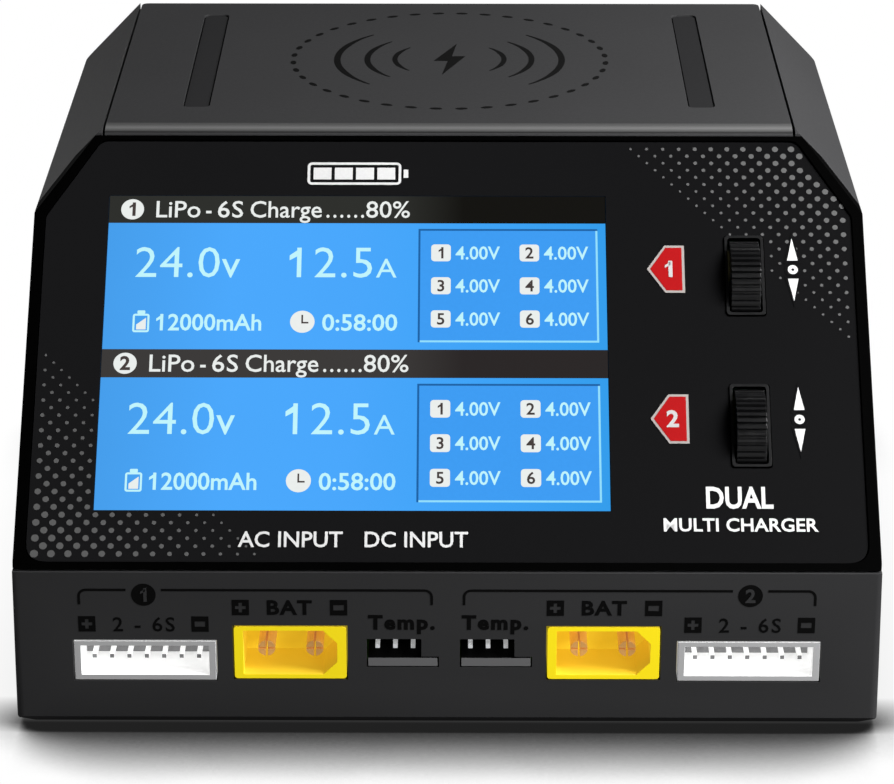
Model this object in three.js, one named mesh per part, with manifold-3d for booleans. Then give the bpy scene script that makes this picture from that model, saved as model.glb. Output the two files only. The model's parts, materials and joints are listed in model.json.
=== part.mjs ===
// A two-channel balance charger for model battery packs, with a wireless charging pad on its lid.
// The frame is millimetres with +X to the right, +Y to the back and +Z up. The origin is the middle of
// the footprint, on the plane the rubber feet stand on. The charger faces -Y.
// The casing is a lower shell, an upper shell, a lid, a rear plate and a sloping front bezel. The bezel
// carries a printed overlay, a screen and two roller encoders that turn and press.

import * as THREE from 'three';
import { mergeVertices } from 'three/addons/utils/BufferGeometryUtils.js';
import Module from 'manifold-3d';

const wasm = await Module();
wasm.setup();

// ---------------------------------------------------------------- driving dimensions

const WIDTH = 123;
const DEPTH = 118.4;
const FOOT_HEIGHT = 1.5;
const FRONT_HEIGHT = 24.3; // upright front face, from the underside to the fold
const PANEL_LENGTH = 70.8; // sloping front panel, along the slope
const PANEL_ANGLE = THREE.MathUtils.degToRad(41.5); // above the horizontal
const LID_ROUND = { drop: 0.95, run: 3.1, steps: 5 }; // the lid's front edge, an elliptic round
const SHOULDER_X = 9.4; // the long chamfer between side wall and lid
const SHOULDER_Z = 9.7;
const EDGE_RADIUS = 1.2; // upright corners, seen from above
const BASE_FLARE = 0.45; // how far each side of the lower shell leans out, from the fold to the underside
const BASE_BEVEL = { side: 2.6, side_rise: 1, end: 1.1, end_rise: 1.2 }; // all round the underside
const WALL = 2.2;
const SEAM = 0.3; // gap between neighbouring parts

const BEZEL_THICK = 2.4;
const OVERLAY_THICK = 0.5;
const OVERLAY_SUNK = 0.3; // below the bezel's rim
const OVERLAY_BORDER = { side: 1.75, top: 0.9 };
const LID_THICK = 2.4;
const BOARD_THICK = 1.6;

const SCREEN = { x0: -50.5, x1: 23.4, s0: 9.7, s1: 60.7 }; // clear window, s runs up the slope
const ROLLER = { x: 43.7, rows: [47.4, 23.1], radius: 7, width: 4.3, sunk: 4.4, ribs: 44 };
const PRESS_TRAVEL = 0.5; // of a pressed roller
const PAD = { y: 28.6, strip_x: 38.7, strip_width: 3.7, strip_length: 47.8 };

// ---------------------------------------------------------------- worked-out places

const FLOOR_Z = FOOT_HEIGHT;
const FOLD_Z = FLOOR_Z + FRONT_HEIGHT;
const FRONT_Y = -DEPTH / 2;
const REAR_Y = DEPTH / 2;
const PANEL_TOP_Y = FRONT_Y + PANEL_LENGTH * Math.cos(PANEL_ANGLE);
const PANEL_TOP_Z = FOLD_Z + PANEL_LENGTH * Math.sin(PANEL_ANGLE);
const TOP_Z = PANEL_TOP_Z + LID_ROUND.drop;
const INNER_FLOOR_Z = FLOOR_Z + WALL;
const LEDGE_Z = TOP_Z - LID_THICK - SEAM; // the lid rests on this ledge of the upper shell
const LEDGE_THICK = 2;
const REAR_LIP = 1.2; // lip that keeps the rear plate in
const REAR_PLATE = { y0: REAR_Y - 3.5, y1: REAR_Y - 1.5, z1: LEDGE_Z - LEDGE_THICK - SEAM };
const MAIN_BOARD_Z = INNER_FLOOR_Z + 3;
const MAIN_BOARD_TOP = MAIN_BOARD_Z + BOARD_THICK;
const FAR = 200; // past every side of the charger

// ---------------------------------------------------------------- shapes

// Geometry as a closed solid that can be joined and cut. A solid passes through unchanged.
function solid(shape) {
  if (!shape.isBufferGeometry) return shape;
  const bare = shape.clone().deleteAttribute('normal').deleteAttribute('uv');
  const merged = mergeVertices(bare, 1e-4);
  return new wasm.Manifold(new wasm.Mesh({
    numProp: 3,
    vertProperties: merged.attributes.position.array,
    triVerts: new Uint32Array(merged.index.array),
  }));
}

const join = (first, ...others) => others.reduce((sum, s) => sum.add(solid(s)), solid(first));
const cut = (first, ...tools) => tools.reduce((left, s) => left.subtract(solid(s)), solid(first));
const common = (first, ...others) => others.reduce((left, s) => left.intersect(solid(s)), solid(first));

function geometryOf(shape) {
  if (shape.isBufferGeometry) return shape;
  const made = shape.getMesh();
  return new THREE.BufferGeometry()
    .setAttribute('position', new THREE.BufferAttribute(made.vertProperties, 3))
    .setIndex(new THREE.BufferAttribute(made.triVerts, 1));
}

function box(x0, x1, y0, y1, z0, z1) {
  return new THREE.BoxGeometry(x1 - x0, y1 - y0, z1 - z0)
    .translate((x0 + x1) / 2, (y0 + y1) / 2, (z0 + z1) / 2);
}

const X = new THREE.Vector3(1, 0, 0);
const Y = new THREE.Vector3(0, 1, 0);
const Z = new THREE.Vector3(0, 0, 1);
// Where a drawing's own axes go for a prism along x, y or z: drawings are (y, z), (x, z) and (x, y).
const DRAWING = {
  x: new THREE.Matrix4().makeBasis(Y, Z, X),
  y: new THREE.Matrix4().makeBasis(X, Z, Y.clone().negate()),
  z: new THREE.Matrix4(),
};

// A drawing, given as a list of points or a THREE.Shape, pulled along an axis.
function prism(axis, drawing, from, to) {
  const shape = Array.isArray(drawing)
    ? new THREE.Shape(drawing.map(([u, v]) => new THREE.Vector2(u, v)))
    : drawing;
  const settings = { depth: to - from, bevelEnabled: false, curveSegments: 5 };
  const start = { x: [from, 0, 0], y: [0, to, 0], z: [0, 0, from] }[axis];
  return new THREE.ExtrudeGeometry(shape, settings).applyMatrix4(DRAWING[axis]).translate(...start);
}

// A round bar along an axis; at is its centre in the plane across that axis.
function rod(axis, radius, at, from, to, segments = 20) {
  const bar = new THREE.CylinderGeometry(radius, radius, to - from, segments);
  const middle = (from + to) / 2;
  if (axis === 'x') return bar.rotateZ(-Math.PI / 2).translate(middle, ...at);
  if (axis === 'y') return bar.translate(at[0], middle, at[1]);
  return bar.rotateX(Math.PI / 2).translate(...at, middle);
}

const rectangle = (x0, x1, y0, y1) => [[x0, y0], [x1, y0], [x1, y1], [x0, y1]];

// A drawing with rounded corners, from its corner points and one radius for each.
function rounded(points, radii) {
  const shape = new THREE.Shape();
  points.forEach(([px, py], i) => {
    const corner = new THREE.Vector2(px, py);
    const radius = Array.isArray(radii) ? radii[i] : radii;
    const before = new THREE.Vector2(...points[(i + points.length - 1) % points.length]).sub(corner);
    const after = new THREE.Vector2(...points[(i + 1) % points.length]).sub(corner);
    const turn = Math.PI - Math.acos(before.dot(after) / before.length() / after.length());
    const reach = radius * Math.tan(turn / 2);
    const start = before.setLength(reach).add(corner);
    const end = after.setLength(reach).add(corner);
    if (i === 0) shape.moveTo(start.x, start.y);
    else shape.lineTo(start.x, start.y);
    if (radius > 0) shape.quadraticCurveTo(px, py, end.x, end.y);
  });
  return shape.closePath();
}

// A convex outline, listed anticlockwise, moved inwards by t along every edge.
function inset(outline, t) {
  const count = outline.length;
  const edges = outline.map((p, i) => {
    const q = outline[(i + 1) % count];
    const length = Math.hypot(q[0] - p[0], q[1] - p[1]);
    const normal = [-(q[1] - p[1]) / length, (q[0] - p[0]) / length];
    return { normal, offset: normal[0] * p[0] + normal[1] * p[1] + t };
  });
  return edges.map((b, i) => {
    const a = edges[(i + count - 1) % count];
    const det = a.normal[0] * b.normal[1] - a.normal[1] * b.normal[0];
    return [
      (a.offset * b.normal[1] - b.offset * a.normal[1]) / det,
      (b.offset * a.normal[0] - a.offset * b.normal[0]) / det,
    ];
  });
}

// ---------------------------------------------------------------- scene and materials

const charger = new THREE.Group();

// The panel's own frame: x to the right, y up the slope from the fold and z out of the panel.
const panel = new THREE.Group();
panel.position.set(0, FRONT_Y, FOLD_Z);
panel.rotation.x = PANEL_ANGLE;
panel.updateMatrix();
charger.add(panel);
const onPanel = (geometry) => geometry.applyMatrix4(panel.matrix);

const finish = (color, roughness, metalness = 0) =>
  new THREE.MeshStandardMaterial({ color, roughness, metalness });
const MATERIAL = {
  casing: finish(0x343436, 0.6),
  bezel: finish(0x060606, 0.35),
  overlay: finish(0x161617, 0.4),
  screen: finish(0x3f9df2, 0.15),
  rubber: finish(0x1c1c1d, 0.85),
  roller: finish(0x121213, 0.45),
  plastic: finish(0x19191a, 0.5),
  white: finish(0xe9e9e6, 0.45),
  yellow: finish(0xf2c718, 0.4),
  gold: finish(0xd9a441, 0.25, 1),
  steel: finish(0xb9bcc0, 0.3, 1),
  copper: finish(0xb36a3a, 0.35, 1),
  aluminium: finish(0xa9adb1, 0.4, 1),
  board: finish(0x1d5a34, 0.5),
  ferrite: finish(0x3b3b3f, 0.8),
};

function add(parent, name, shape, material) {
  const mesh = new THREE.Mesh(geometryOf(shape), MATERIAL[material]);
  mesh.name = name;
  parent.add(mesh);
  return mesh;
}

// ---------------------------------------------------------------- casing

const half = WIDTH / 2;
// The casing seen from the front, anticlockwise.
const FRONT_OUTLINE = [
  [-half, FLOOR_Z], [half, FLOOR_Z], [half, TOP_Z - SHOULDER_Z],
  [half - SHOULDER_X, TOP_Z], [-half + SHOULDER_X, TOP_Z], [-half, TOP_Z - SHOULDER_Z],
];
// The casing seen from the right, anticlockwise, with the slope carried on up to the lid's height.
const SLOPE_TOP_Y = FRONT_Y + (TOP_Z - FOLD_Z) / Math.tan(PANEL_ANGLE);
const SIDE_OUTLINE = [
  [FRONT_Y, FLOOR_Z], [REAR_Y, FLOOR_Z], [REAR_Y, TOP_Z], [SLOPE_TOP_Y, TOP_Z], [FRONT_Y, FOLD_Z],
];

// The casing's own shape as a plain block, with every face moved in by t.
function block(t) {
  const across = prism('x', inset(SIDE_OUTLINE, t), -half + t, half - t);
  const along = prism('y', inset(FRONT_OUTLINE, t), FRONT_Y + t, REAR_Y - t);
  const plan = rectangle(-half + t, half - t, FRONT_Y + t, REAR_Y - t);
  const upright = prism('z', rounded(plan, Math.max(EDGE_RADIUS - t, 0.8)), FLOOR_Z - 1, TOP_Z + 1);
  return common(across, along, upright);
}

// The lower shell's outer shape: its sides lean out towards the underside.
function baseBlock() {
  const foot = half + BASE_FLARE;
  const outline = [[-foot, FLOOR_Z], [foot, FLOOR_Z], [half, FOLD_Z], [-half, FOLD_Z]];
  const plan = rounded(rectangle(-foot, foot, FRONT_Y, REAR_Y), EDGE_RADIUS);
  return common(
    prism('y', outline, FRONT_Y, REAR_Y),
    prism('z', plan, FLOOR_Z - 1, TOP_Z),
    bevelledBase('y', foot, BASE_BEVEL.side, BASE_BEVEL.side_rise),
    bevelledBase('x', REAR_Y, BASE_BEVEL.end, BASE_BEVEL.end_rise),
  );
}

// A rectangle pulled along an axis, with its two lower corners cut off.
function bevelledBase(axis, edge, run, rise) {
  const drawing = [
    [-edge + run, FLOOR_Z], [edge - run, FLOOR_Z], [edge, FLOOR_Z + rise],
    [edge, TOP_Z], [-edge, TOP_Z], [-edge, FLOOR_Z + rise],
  ];
  return prism(axis, drawing, -DEPTH, DEPTH);
}

// The hollow inside the shells. It runs back to the rear lip, and up to the lid's ledge.
const cavity = cut(
  join(
    block(WALL),
    prism('y', inset(FRONT_OUTLINE, WALL), REAR_Y - WALL - 8, REAR_Y - REAR_LIP),
  ),
  box(-half, half, FRONT_Y, REAR_Y, LEDGE_Z - LEDGE_THICK, TOP_Z + 1),
);
// The opening in the rear, inside the lip.
const rearOpening = cut(
  prism('y', inset(FRONT_OUTLINE, WALL + 1), REAR_Y - 3, REAR_Y + 1),
  box(-half, half, REAR_Y - 9, REAR_Y + 9, REAR_PLATE.z1 - 1, TOP_Z + 1),
);

const SCREW_PLACES = [[-54.3, -38], [54.3, -38], [-54.3, 44], [54.3, 44]];
const FOOT_PLACES = [[-49, -50], [49, -50], [-46, 51], [46, 51]];
const BOARD_POSTS = [[-44, -40], [44, -40], [-50, 22], [50, 22]];
const POWER_POSTS = [[-41, -3], [41, -3], [-41, 35], [41, 35]];
const POWER_BOARD_Z = 30;

// Sockets in the upright front face: centre, width and height of each.
const CHANNEL_X = [-1, 1];
const SOCKET_Z = { battery: 13.1, balance: 11.8, sensor: 13.15 };
const BATTERY = { x: 22.35, width: 16, height: 8.3, length: 15.5 };
const BALANCE = {
  x: 43.1, width: 20.2, height: 6.2, length: 11.5, depth: 7.1, pins: 7, pitch: 2.5, pin_z: -0.5,
};
const SENSOR = { x: [-6.3, 7], width: 9.9, height: 4.3, length: 10, pins: 3, pitch: 2.54, pin_x: -1.1 };
const PIN_RECESS = 2.3; // how far every header pin stands back from its socket's mouth
const BULLET = { x: 3.45, radius: 1.25, recess: 1.4 }; // a battery socket's contacts
const SENSOR_LEDGE = 1.3; // height of the shelf along the bottom of a sensor opening
const SENSOR_WINDOW = 7.8; // width of the opening above the shelf

const throughFront = (x0, x1, z0, z1) => box(x0, x1, FRONT_Y - 1, FRONT_Y + WALL + 1, z0, z1);

function socketHole(part, x, z) {
  const w = part.width / 2 + 0.2;
  const h = part.height / 2 + 0.2;
  return throughFront(x - w, x + w, z - h, z + h);
}

// A sensor header shows through a window over a wider slot for its shelf.
function sensorHole(x, z) {
  const left = x - SENSOR.width / 2 - 0.2;
  const bottom = z - SENSOR.height / 2 - 0.2;
  return join(
    throughFront(left, left + SENSOR_WINDOW, bottom, z + SENSOR.height / 2),
    throughFront(left, left + SENSOR.width + 0.4, bottom, bottom + SENSOR_LEDGE + 0.4),
  );
}

function lowerShell() {
  const tray = cut(baseBlock(), cavity);
  const posts = [
    ...BOARD_POSTS.map((at) => rod('z', 3, at, INNER_FLOOR_Z - 0.5, MAIN_BOARD_Z - 0.1, 12)),
    ...POWER_POSTS.map((at) => rod('z', 3, at, INNER_FLOOR_Z - 0.5, POWER_BOARD_Z - 0.1, 12)),
  ];
  const sockets = CHANNEL_X.flatMap((side, i) => [
    socketHole(BATTERY, side * BATTERY.x, SOCKET_Z.battery),
    socketHole(BALANCE, side * BALANCE.x, SOCKET_Z.balance),
    sensorHole(SENSOR.x[i], SOCKET_Z.sensor),
  ]);
  const screwHoles = SCREW_PLACES.flatMap((at) => [
    rod('z', 1.7, at, FLOOR_Z - 1, INNER_FLOOR_Z + 1, 10),
    rod('z', 3, at, FLOOR_Z - 1, FLOOR_Z + 1.1, 20),
  ]);
  const footSeats = FOOT_PLACES.map((at) => rod('z', 5.2, at, FLOOR_Z - 1, FLOOR_Z + 0.5, 24));
  const vents = [-1, 1].flatMap((side) => Array.from({ length: 7 }, (_, i) => {
    const y = -24 + 7 * i;
    return box(side * 22 - 12, side * 22 + 12, y, y + 2.4, FLOOR_Z - 1, INNER_FLOOR_Z + 0.5);
  }));
  return cut(join(tray, ...posts), ...sockets, ...screwHoles, ...footSeats, ...vents, rearOpening);
}

// A column of the upper shell that a case screw bites into from below, tied to the side wall.
function screwColumn([x, y]) {
  const side = Math.sign(x);
  const tie = side > 0 ? [x, half - 1] : [-half + 1, x];
  const foot = INNER_FLOOR_Z + 0.5;
  const top = FOLD_Z + 4;
  return cut(
    join(rod('z', 3.3, [x, y], foot, top), box(...tie, y - 1.5, y + 1.5, FOLD_Z + 0.5, top)),
    rod('z', 1.35, [x, y], foot - 1, foot + 9, 14),
  );
}

const SIDE_VENTS = { count: 7, start: 0, pitch: 5.6, width: 2.4, z0: 34, z1: 57 };

const lidOutline = (gap) => rounded(
  rectangle(
    -half + SHOULDER_X + 0.4 - gap, half - SHOULDER_X - 0.4 + gap,
    PANEL_TOP_Y + SEAM - gap, REAR_Y + gap * 4,
  ),
  [0, 0, EDGE_RADIUS, EDGE_RADIUS],
);

function upperShell() {
  const hood = common(
    cut(block(0), cavity),
    box(-half - 1, half + 1, FRONT_Y - 1, REAR_Y + 1, FOLD_Z + SEAM, TOP_Z + 1),
  );
  const panelSpace = common(
    onPanel(box(-FAR, FAR, -FAR, FAR, -BEZEL_THICK - SEAM, FAR)),
    box(-FAR, FAR, -FAR, PANEL_TOP_Y + SEAM, 0, FAR),
  );
  const lidSpace = prism('z', lidOutline(0.35), LEDGE_Z, TOP_Z + 1);
  const padOpening = box(-45, 45, 2, REAR_Y - 5, LEDGE_Z - LEDGE_THICK - 1, LEDGE_Z + 1);
  const { count, start, pitch, width, z0, z1 } = SIDE_VENTS;
  const vents = [-1, 1].flatMap((side) => Array.from({ length: count }, (_, i) => {
    const y = start + pitch * i;
    const slot = rectangle(y, y + width, z0, z1);
    return prism('x', slot, side * half - WALL - 1, side * half + WALL + 1);
  }));
  const shell = cut(hood, panelSpace, lidSpace, padOpening, ...vents, rearOpening);
  return join(shell, ...SCREW_PLACES.map(screwColumn));
}

// The lid's front edge rounds over from its top to the panel, as a quarter of an ellipse.
function lid() {
  const { drop, run, steps } = LID_ROUND;
  const front = PANEL_TOP_Y + SEAM;
  const round = Array.from({ length: steps + 1 }, (_, i) => {
    const turn = (Math.PI / 2) * (i / steps);
    return [front + (run - SEAM) * (1 - Math.sin(turn)), TOP_Z - drop * (1 - Math.cos(turn))];
  });
  const side = [
    [front, TOP_Z - LID_THICK], [REAR_Y, TOP_Z - LID_THICK], [REAR_Y, TOP_Z],
    ...round,
  ];
  const slab = common(
    prism('x', side, -half, half),
    prism('z', lidOutline(0), TOP_Z - LID_THICK - 1, TOP_Z + 1),
  );
  return cut(slab, ...[-1, 1].map((s) => prism('z', stripOutline(s, 0.2), TOP_Z - 0.9, TOP_Z + 1)));
}

function stripOutline(side, gap) {
  const w = PAD.strip_width / 2 + gap;
  const l = PAD.strip_length / 2 + gap;
  const x = side * PAD.strip_x;
  return rounded(rectangle(x - w, x + w, PAD.y - l, PAD.y + l), 1);
}

const FANS = { x: [-22.5, 22.5], z: 46.4, size: 40, thick: 10, duct: 19 };
const AC_INLET = { x: -34, z: 15.1, width: 29.4, height: 20.2 };
const DC_SOCKET = { x: 2, z: 13.2 };
const USB = { x: 32, z: 13.2, width: 13.4, height: 6 };

// A fan's round grille: three ring-shaped slots, each crossed by two bars.
function grille(x, z) {
  const bar = 1.6;
  const rings = [[4.5, 8.2], [9.8, 13.2], [14.8, 18.2]].map(([inner, outer]) => cut(
    rod('y', outer, [x, z], REAR_PLATE.y0 - 1, REAR_PLATE.y1 + 1, 32),
    rod('y', inner, [x, z], REAR_PLATE.y0 - 2, REAR_PLATE.y1 + 2, 32),
  ));
  const bars = join(
    box(x - bar / 2, x + bar / 2, REAR_PLATE.y0 - 2, REAR_PLATE.y1 + 2, z - 20, z + 20),
    box(x - 20, x + 20, REAR_PLATE.y0 - 2, REAR_PLATE.y1 + 2, z - bar / 2, z + bar / 2),
  );
  return cut(join(...rings), bars);
}

function rearPlate() {
  const { y0, y1, z1 } = REAR_PLATE;
  const plate = cut(
    prism('y', inset(FRONT_OUTLINE, WALL + SEAM), y0, y1),
    box(-half, half, y0 - 1, y1 + 1, z1, TOP_Z + 1),
  );
  const hole = (x, z, w, h) => box(x - w / 2, x + w / 2, y0 - 1, y1 + 1, z - h / 2, z + h / 2);
  return cut(
    plate,
    ...FANS.x.map((x) => grille(x, FANS.z)),
    hole(AC_INLET.x, AC_INLET.z, AC_INLET.width - 2, AC_INLET.height - 1),
    hole(DC_SOCKET.x, DC_SOCKET.z, BATTERY.width + 0.5, BATTERY.height + 0.5),
    hole(USB.x, USB.z, USB.width + 0.5, USB.height + 0.5),
  );
}

add(charger, 'lower_shell', lowerShell(), 'casing');
add(charger, 'upper_shell', upperShell(), 'casing');
add(charger, 'lid', lid(), 'casing');
add(charger, 'rear_plate', rearPlate(), 'casing');

[['left', -1], ['right', 1]].forEach(([name, side]) => {
  const strip = prism('z', stripOutline(side, 0), TOP_Z - 0.85, TOP_Z - 0.2);
  add(charger, `grip_strip_${name}`, strip, 'rubber');
});

FOOT_PLACES.forEach((at, i) => {
  add(charger, `foot_${i + 1}`, rod('z', 5, at, 0, FLOOR_Z + 0.4, 24), 'rubber');
});

function caseScrew([x, y]) {
  const head = cut(
    rod('z', 2.7, [x, y], FLOOR_Z + 0.05, FLOOR_Z + 1, 20),
    box(x - 1.6, x + 1.6, y - 0.3, y + 0.3, FLOOR_Z - 1, FLOOR_Z + 0.6),
    box(x - 0.3, x + 0.3, y - 1.6, y + 1.6, FLOOR_Z - 1, FLOOR_Z + 0.6),
  );
  return join(head, rod('z', 1.2, [x, y], FLOOR_Z + 0.9, FLOOR_Z + 9.5, 12));
}
SCREW_PLACES.forEach((at, i) => add(charger, `case_screw_${i + 1}`, caseScrew(at), 'steel'));

// ---------------------------------------------------------------- front panel

// The sloping face's outline in the panel's frame, anticlockwise.
const shoulderS = (TOP_Z - SHOULDER_Z - FOLD_Z) / Math.sin(PANEL_ANGLE);
const topHalf = half - SHOULDER_X + LID_ROUND.drop * SHOULDER_X / SHOULDER_Z;
const TOP_BORDER_GAIN = OVERLAY_BORDER.side - OVERLAY_BORDER.top;
const PANEL_OUTLINE = [
  [-half, 0], [half, 0], [half, shoulderS],
  [topHalf, PANEL_LENGTH], [-topHalf, PANEL_LENGTH], [-half, shoulderS],
];
// The overlay's outline keeps a border to the panel's own, narrower along its top.
const overlayOutline = (gap) => {
  const raised = PANEL_OUTLINE.map(([x, s]) => [x, s === PANEL_LENGTH ? s + TOP_BORDER_GAIN : s]);
  return rounded(inset(raised, OVERLAY_BORDER.side - gap), [3, 3, 2, 2, 2, 2]);
};
const ROLLER_COLLAR = { inner_x: 2.45, inner_s: 6.15, wall: 0.4, undercut: 0.75 };
const collar = (row, grow) => {
  const w = ROLLER_COLLAR.inner_x + grow;
  const l = ROLLER_COLLAR.inner_s + grow;
  return rounded(rectangle(ROLLER.x - w, ROLLER.x + w, row - l, row + l), 0.6);
};
const SCREEN_MODULE = { border: 2.1, thick: 5 };
const OVERLAY_SEAT = OVERLAY_SUNK + OVERLAY_THICK + SEAM; // depth of the bezel's recess

function bezel() {
  const slab = common(
    block(0),
    onPanel(box(-FAR, FAR, -FAR, FAR, -BEZEL_THICK, 5)),
    box(-half - 1, half + 1, FRONT_Y - 1, PANEL_TOP_Y, FOLD_Z + SEAM, TOP_Z),
  );
  const recess = cut(
    onPanel(prism('z', overlayOutline(0.15), -OVERLAY_SEAT, 5)),
    ...ROLLER.rows.map((row) => onPanel(prism('z', collar(row, ROLLER_COLLAR.wall), -FAR, FAR))),
  );
  const { x0, x1, s0, s1 } = SCREEN;
  const room = SCREEN_MODULE.border + 0.3;
  const screenOpening = onPanel(box(x0 - room, x1 + room, s0 - room, s1 + room, -FAR, FAR));
  const rollerOpenings = ROLLER.rows.flatMap((row) => {
    const w = ROLLER_COLLAR.inner_x;
    return [
      onPanel(prism('z', collar(row, 0), -FAR, FAR)),
      onPanel(box(ROLLER.x - w, ROLLER.x + w, row - 7.4, row + 7.4, -FAR, -ROLLER_COLLAR.undercut)),
    ];
  });
  return cut(slab, recess, screenOpening, ...rollerOpenings);
}

function overlay() {
  const { x0, x1, s0, s1 } = SCREEN;
  return cut(
    prism('z', overlayOutline(0), -OVERLAY_SUNK - OVERLAY_THICK, -OVERLAY_SUNK),
    box(x0, x1, s0, s1, -FAR, FAR),
    ...ROLLER.rows.map((row) => prism('z', collar(row, ROLLER_COLLAR.wall + 0.15), -FAR, FAR)),
  );
}

function screenWindow() {
  const { x0, x1, s0, s1 } = SCREEN;
  const gap = 0.1;
  return box(x0 + gap, x1 - gap, s0 + gap, s1 - gap, -OVERLAY_SUNK - OVERLAY_THICK, -OVERLAY_SUNK);
}

function screenModule() {
  const { x0, x1, s0, s1 } = SCREEN;
  const b = SCREEN_MODULE.border;
  const body = box(x0 - b, x1 + b, s0 - b, s1 + b, -OVERLAY_SEAT - SCREEN_MODULE.thick, -OVERLAY_SEAT);
  return cut(body, box(x0, x1, s0, s1, -OVERLAY_SEAT - 0.3, 1));
}

const DISPLAY_BOARD_Z = -OVERLAY_SEAT - SCREEN_MODULE.thick - SEAM; // its front face, in the panel's frame
const ENCODER = { arm_in: 2.5, arm_out: 3.7, wall_in: 4, wall_out: 5.2, along: 2.2, floor: 15.2 };

function displayBoard() {
  const notches = ROLLER.rows.map((row) => {
    const w = ENCODER.wall_out + 0.4;
    return box(ROLLER.x - w, ROLLER.x + w, row - 8.2, row + 8.2, -30, 0);
  });
  const board = prism('z', rectangle(-55, 55, 6, 58), DISPLAY_BOARD_Z - BOARD_THICK, DISPLAY_BOARD_Z);
  return cut(board, ...notches);
}

add(charger, 'front_bezel', bezel(), 'bezel');
add(panel, 'front_overlay', overlay(), 'overlay');
add(panel, 'screen_window', screenWindow(), 'screen');
add(panel, 'screen_module', screenModule(), 'plastic');
add(panel, 'display_board', displayBoard(), 'board');

// ---------------------------------------------------------------- roller encoders

const AXLE_RADIUS = 1;
const AXLE_BORE = 1.1; // the hole's radius in the wheel and the yoke

// A ribbed thumb wheel on an axle along x, centred on the origin.
function rollerWheel() {
  const { radius, width, ribs } = ROLLER;
  const groove = radius - 0.5;
  const step = (2 * Math.PI) / ribs;
  const rim = Array.from({ length: ribs }, (_, i) => [
    [groove, 0.1], [radius, 0.24], [radius, 0.66], [groove, 0.8],
  ].map(([r, share]) => [r * Math.cos((i + share) * step), r * Math.sin((i + share) * step)])).flat();
  return cut(prism('x', rim, -width / 2, width / 2), rod('x', AXLE_BORE, [0, 0], -FAR, FAR, 16));
}

const YOKE_BOTTOM = -ROLLER.radius - 1.7; // from the axle

// The yoke that holds the axle. It slides inwards when the wheel is pressed.
function rollerYoke() {
  const { arm_in, arm_out, along } = ENCODER;
  const deep = YOKE_BOTTOM + 1.2;
  const outline = [
    [-arm_out, YOKE_BOTTOM], [arm_out, YOKE_BOTTOM], [arm_out, 1.7], [arm_in, 1.7],
    [arm_in, deep], [-arm_in, deep], [-arm_in, 1.7], [-arm_out, 1.7],
  ];
  return cut(prism('y', outline, -along, along), rod('x', AXLE_BORE, [0, 0], -FAR, FAR, 16));
}

// The fixed channel that guides the yoke, with flanges that rest on the back of the display board.
function encoderBase() {
  const { wall_in, wall_out, floor } = ENCODER;
  const seat = ROLLER.sunk + DISPLAY_BOARD_Z - BOARD_THICK - 0.2;
  const bottom = ROLLER.sunk - floor;
  const outline = [
    [-wall_out, bottom - 1.2], [wall_out, bottom - 1.2], [wall_out, seat - 1], [wall_out + 2.6, seat - 1],
    [wall_out + 2.6, seat], [wall_in, seat], [wall_in, bottom], [-wall_in, bottom],
    [-wall_in, seat], [-wall_out - 2.6, seat], [-wall_out - 2.6, seat - 1], [-wall_out, seat - 1],
  ];
  return prism('y', outline, -4, 4);
}

// The switch under the yoke. Its button waits a little further down than the yoke can travel.
function pressSwitch() {
  const bottom = ROLLER.sunk - ENCODER.floor + 0.1;
  const button = YOKE_BOTTOM - PRESS_TRAVEL - 0.2;
  return join(
    box(-1.6, 1.6, -1.6, 1.6, bottom, bottom + 0.9),
    rod('z', 0.8, [0, 0], bottom + 0.8, button, 12),
  );
}

ROLLER.rows.forEach((row, i) => {
  const seat = new THREE.Group();
  seat.position.set(ROLLER.x, row, -ROLLER.sunk);
  panel.add(seat);
  const axleHalf = ENCODER.arm_out + 0.1;
  add(seat, `roller_wheel_${i + 1}`, rollerWheel(), 'roller');
  add(seat, `roller_axle_${i + 1}`, rod('x', AXLE_RADIUS, [0, 0], -axleHalf, axleHalf, 16), 'steel');
  add(seat, `roller_yoke_${i + 1}`, rollerYoke(), 'plastic');
  add(seat, `encoder_base_${i + 1}`, encoderBase(), 'plastic');
  add(seat, `press_switch_${i + 1}`, pressSwitch(), 'steel');
});

// ---------------------------------------------------------------- front sockets

// A two-pole battery socket, its mouth at y = 0 facing -Y. One end of its cavity has cut corners.
function batterySocket() {
  const { width, height, length } = BATTERY;
  const w = width / 2;
  const h = height / 2;
  const side = 1.3; // wall thicknesses
  const top = 0.65;
  const key = 2;
  const mouth = [
    [-w + side, -h + top], [w - side - key, -h + top], [w - side, -h + top + key],
    [w - side, h - top - key], [w - side - key, h - top], [-w + side, h - top],
  ];
  return cut(
    prism('y', rounded(rectangle(-w, w, -h, h), 0.5), 0, length),
    prism('y', mouth, -1, 8),
    ...[-1, 1].map((i) => rod('y', BULLET.radius + 0.1, [i * BULLET.x, 0], 7, length + 1, 16)),
  );
}

// A bullet contact of that socket: a round pin with a cross-cut nose.
function bulletPin() {
  const { radius, recess } = BULLET;
  const slit = 0.15;
  return cut(
    rod('y', radius, [0, 0], recess, BATTERY.length + 1.5, 20),
    box(-slit, slit, recess - 1, 6, -radius - 1, radius + 1),
    box(-radius - 1, radius + 1, recess - 1, 6, -slit, slit),
  );
}

// A shrouded pin header, its mouth at y = 0 facing -Y, with its pins moulded in.
function balanceHeader() {
  const { width, height, length, depth, pins, pitch, pin_z } = BALANCE;
  const w = width / 2;
  const h = height / 2;
  const shroud = cut(
    box(-w, w, 0, length, -h, h),
    box(-w + 0.95, w - 0.95, -1, depth, -h + 0.8, h - 0.75),
  );
  const row = Array.from({ length: pins }, (_, i) => {
    const x = (i - (pins - 1) / 2) * pitch;
    return box(x - 0.32, x + 0.32, PIN_RECESS, depth + 1, pin_z - 0.32, pin_z + 0.32);
  });
  return join(shroud, ...row);
}

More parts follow.
